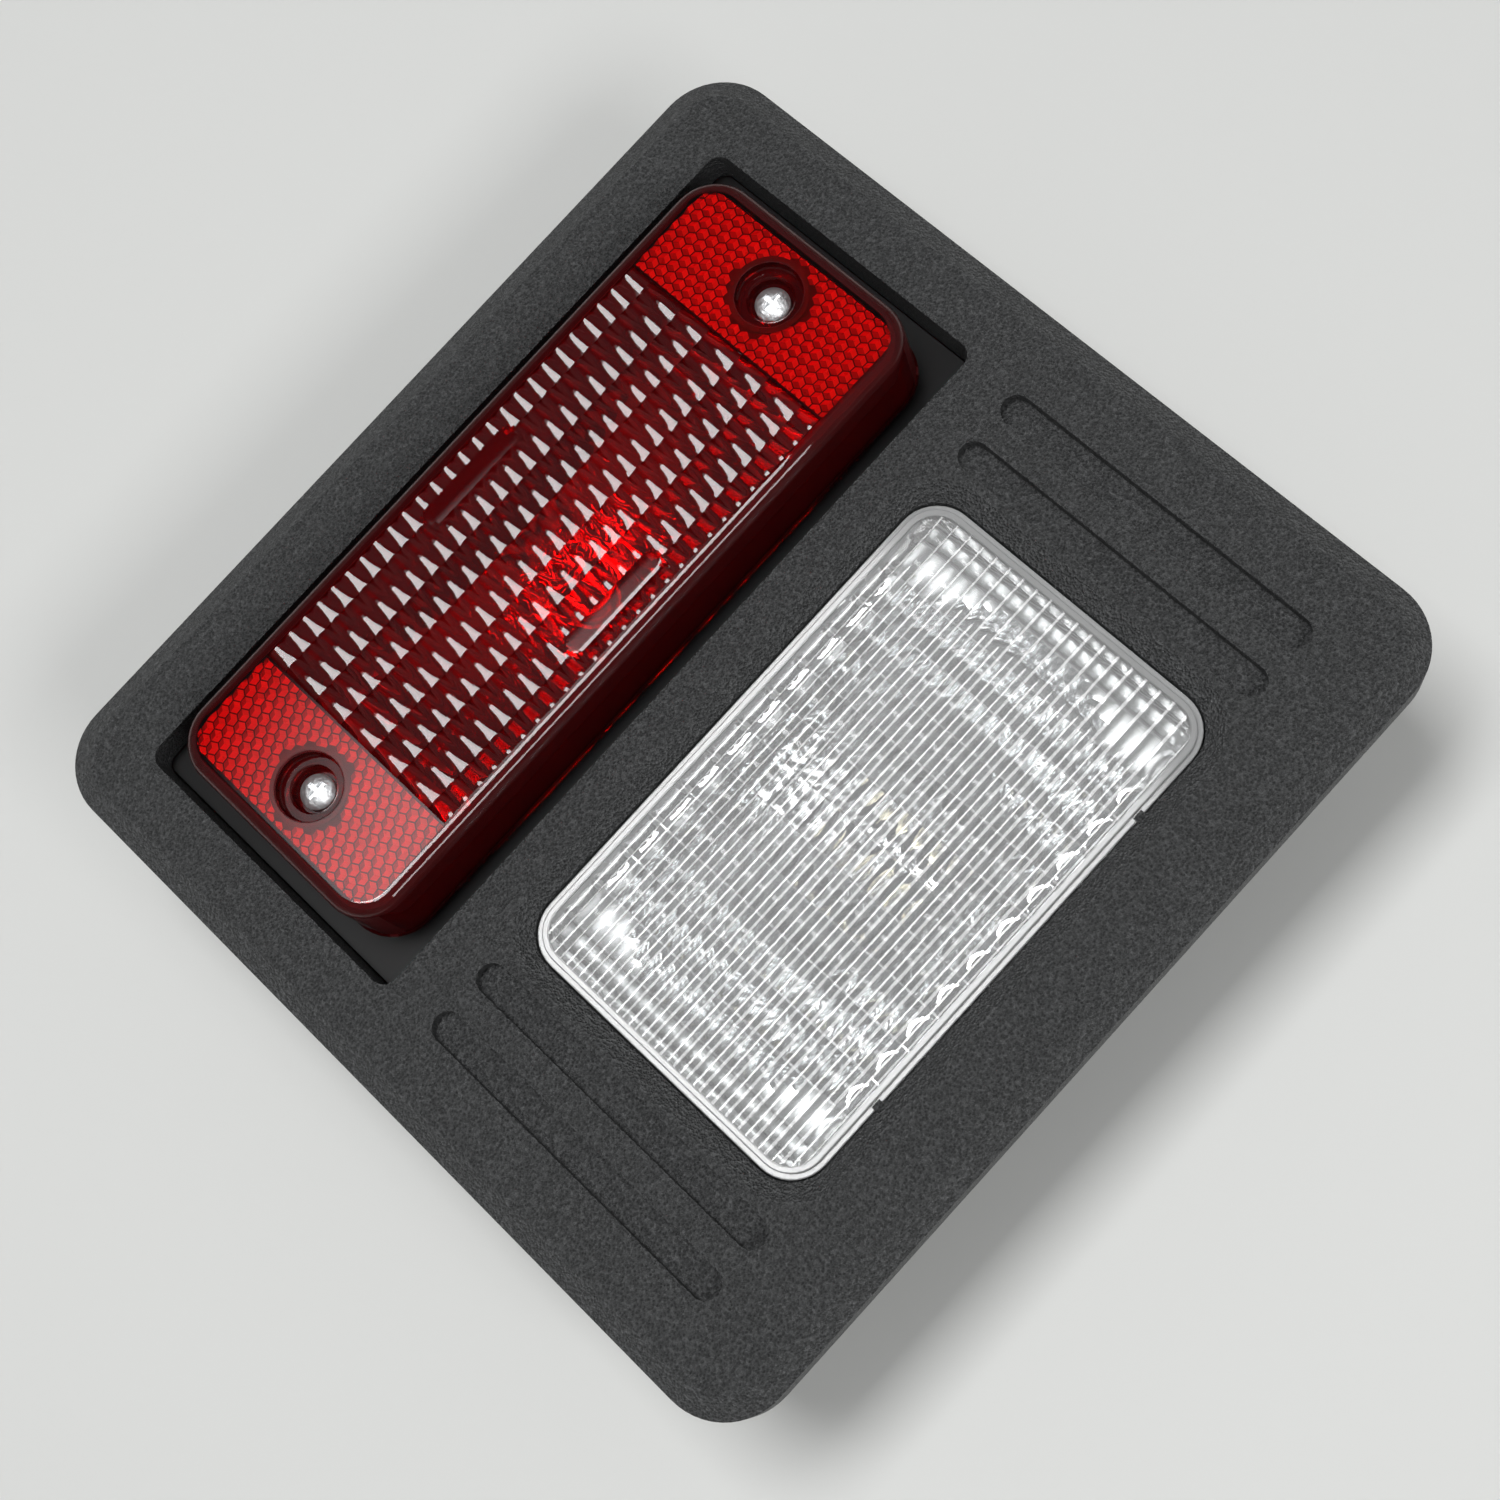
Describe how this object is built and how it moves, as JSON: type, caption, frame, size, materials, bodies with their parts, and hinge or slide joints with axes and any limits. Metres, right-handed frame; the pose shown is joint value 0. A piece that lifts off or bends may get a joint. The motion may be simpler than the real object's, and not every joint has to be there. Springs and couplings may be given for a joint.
{
  "type": "vehicle rear lamp",
  "caption": "Rear lamp of a skid steer loader: black bezel with a red tail and brake lamp and a clear work lamp, each with its bulb, socket and housing.",
  "frame": {"origin": "middle of the back plane of the housings, at the foot of the box, on the bezel's middle", "axes": "+X along the lamps, +Y from the clear work lamp to the red tail lamp, +Z out of the lenses"},
  "size_m": [0.228, 0.22, 0.0755],
  "materials": {
    "bezel_plastic": "near-black moulded plastic with a fine leather grain",
    "housing_plastic": "plain black moulded plastic",
    "socket_plastic": "dark grey glass-filled plastic",
    "red_lens": "clear red moulded acrylic, glossy",
    "clear_lens": "clear moulded acrylic with flutes, glossy",
    "reflector": "bright vacuum-metallised plastic",
    "bulb_glass": "clear thin glass",
    "cap_brass": "plain brass",
    "insert_brass": "knurled brass",
    "terminal_brass": "stamped brass",
    "filament_wire": "dull nickel wire",
    "zinc_screw": "bright zinc plate",
    "seal_rubber": "black moulded rubber",
    "pale_silicone": "pale silicone rubber"
  },
  "bodies": {
    "root": {"bezel": "bezel_plastic", "mount_insert_1": "insert_brass", "mount_insert_2": "insert_brass", "mount_insert_3": "insert_brass", "mount_insert_4": "insert_brass", "tail_lens": "red_lens", "lens_screw_1": "zinc_screw", "lens_screw_2": "zinc_screw", "tail_gasket": "seal_rubber", "tail_housing": "housing_plastic", "tail_reflector": "reflector", "tail_bulb_glass": "bulb_glass", "tail_bulb_cap": "cap_brass", "tail_bulb_filaments": "filament_wire", "tail_socket": "socket_plastic", "tail_socket_seal": "seal_rubber", "tail_terminal_1": "terminal_brass", "tail_terminal_2": "terminal_brass", "tail_terminal_3": "terminal_brass", "housing_screw_1": "zinc_screw", "housing_screw_2": "zinc_screw", "housing_screw_3": "zinc_screw", "housing_screw_4": "zinc_screw", "work_lens": "clear_lens", "work_gasket": "pale_silicone", "work_reflector": "reflector", "work_housing": "housing_plastic", "work_bulb_glass": "bulb_glass", "work_bulb_cap": "cap_brass", "work_bulb_filament": "filament_wire", "work_socket": "socket_plastic", "work_socket_seal": "seal_rubber", "work_terminal_1": "terminal_brass", "work_terminal_2": "terminal_brass", "work_screw_1": "zinc_screw", "work_screw_2": "zinc_screw", "work_screw_3": "zinc_screw", "work_screw_4": "zinc_screw"}
  },
  "joints": []
}
